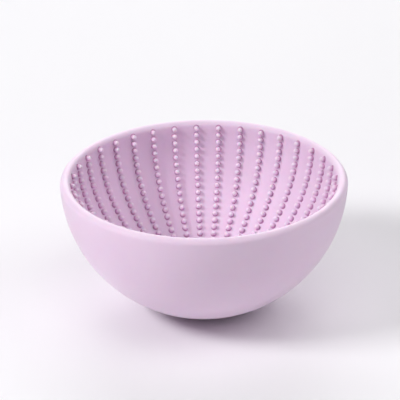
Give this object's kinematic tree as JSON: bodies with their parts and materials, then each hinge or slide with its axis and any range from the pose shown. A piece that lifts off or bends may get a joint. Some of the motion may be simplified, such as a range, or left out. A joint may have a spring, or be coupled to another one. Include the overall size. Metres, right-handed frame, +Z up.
{
  "type": "brush cleaner",
  "caption": "Round soft silicone bowl with a rounded rim and rows of small nubs inside, for washing make-up brushes by hand.",
  "frame": {"origin": "middle of the face that the bowl stands on", "axes": "+Z up along the axis of the bowl, out of its mouth; +X and +Y lie in the standing face"},
  "size_m": [0.1198, 0.1198, 0.0578],
  "materials": {
    "bowl_silicone": "matte",
    "foot_silicone": "matte",
    "nub_silicone": "satin"
  },
  "bodies": {
    "root": {"bowl_shell": "bowl_silicone", "foot_ring": "foot_silicone", "nub_row_01": "nub_silicone", "nub_row_02": "nub_silicone", "nub_row_03": "nub_silicone", "nub_row_04": "nub_silicone", "nub_row_05": "nub_silicone", "nub_row_06": "nub_silicone", "nub_row_07": "nub_silicone", "nub_row_08": "nub_silicone", "nub_row_09": "nub_silicone", "nub_row_10": "nub_silicone", "nub_row_11": "nub_silicone", "nub_row_12": "nub_silicone", "nub_row_13": "nub_silicone", "nub_row_14": "nub_silicone", "nub_row_15": "nub_silicone", "nub_row_16": "nub_silicone", "nub_row_17": "nub_silicone", "nub_row_18": "nub_silicone", "nub_row_19": "nub_silicone", "nub_row_20": "nub_silicone", "nub_row_21": "nub_silicone", "nub_row_22": "nub_silicone", "nub_row_23": "nub_silicone", "nub_row_24": "nub_silicone", "nub_row_25": "nub_silicone", "nub_row_26": "nub_silicone", "nub_row_27": "nub_silicone", "nub_row_28": "nub_silicone", "nub_row_29": "nub_silicone", "nub_row_30": "nub_silicone", "nub_row_31": "nub_silicone", "nub_row_32": "nub_silicone", "nub_row_33": "nub_silicone", "nub_row_34": "nub_silicone", "nub_row_35": "nub_silicone", "nub_row_36": "nub_silicone"}
  },
  "joints": []
}
